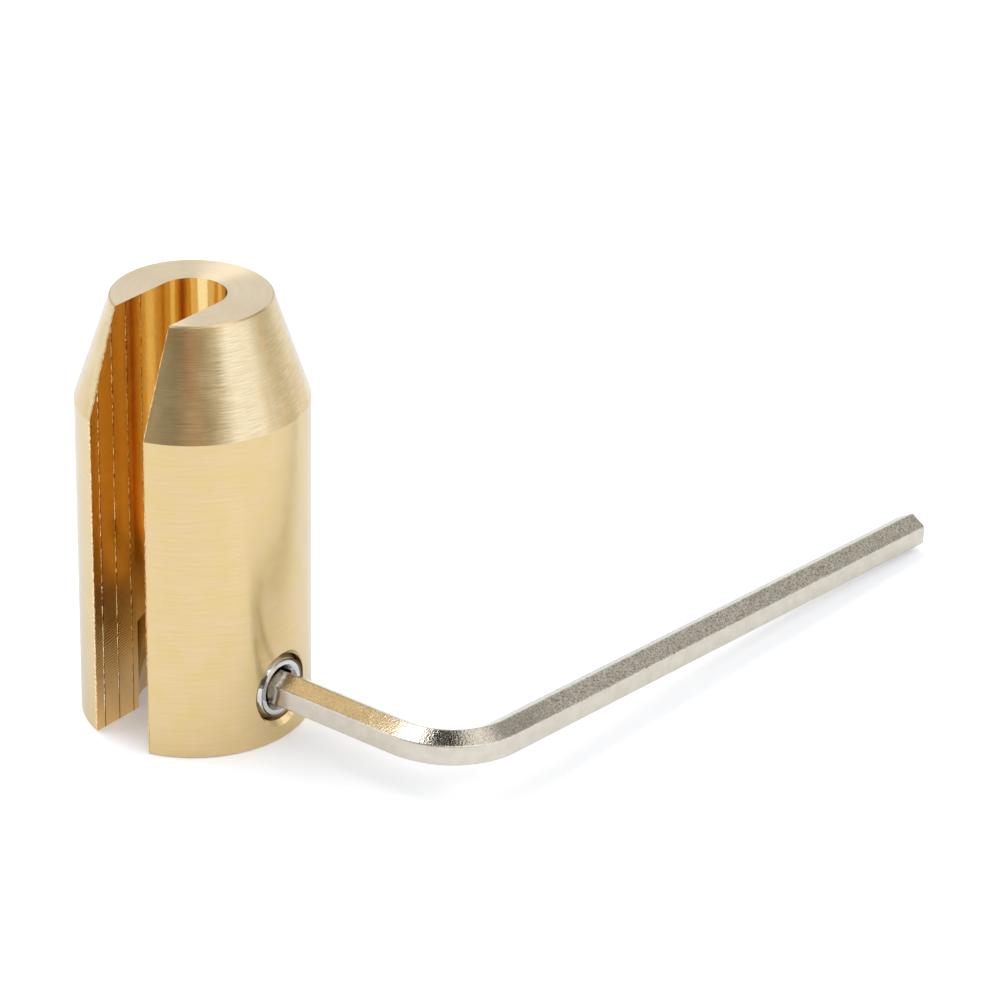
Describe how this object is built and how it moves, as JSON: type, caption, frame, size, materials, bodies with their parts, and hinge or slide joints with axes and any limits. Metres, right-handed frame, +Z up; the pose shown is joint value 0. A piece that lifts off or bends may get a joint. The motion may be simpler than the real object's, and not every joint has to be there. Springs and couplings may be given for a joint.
{
  "type": "string winder head",
  "caption": "Slotted round brass winder head with a tapered nose, clamped on a shaft by a side set screw, with its hex key.",
  "frame": {"origin": "centre of the head's bottom face, which is also the mouth of the shaft socket", "axes": "+Z up the head's axis towards the tapered nose; +X along the set screw, out of the head; -Y out through the slot; the hex key's long arm runs towards +Y"},
  "size_m": [0.0344, 0.0593, 0.031],
  "materials": {
    "brass": "satin, fine turning marks",
    "screw_steel": "bright plated steel",
    "key_nickel": "nickel plated, fine mottled grain"
  },
  "bodies": {
    "head": {"brass_head": "brass"},
    "screw": {"set_screw": "screw_steel"},
    "key": {"hex_key": "key_nickel"}
  },
  "joints": [
    {"name": "screw_turn", "type": "hinge", "parent": "head", "child": "screw", "pos_m": [0.00772, 0, 0.00387], "axis": [1, 0, 0], "range_deg": [0, 185]},
    {"name": "key_pull", "type": "slide", "parent": "screw", "child": "key", "axis": [1, 0, 0], "range_m": [0, 0.02]}
  ]
}
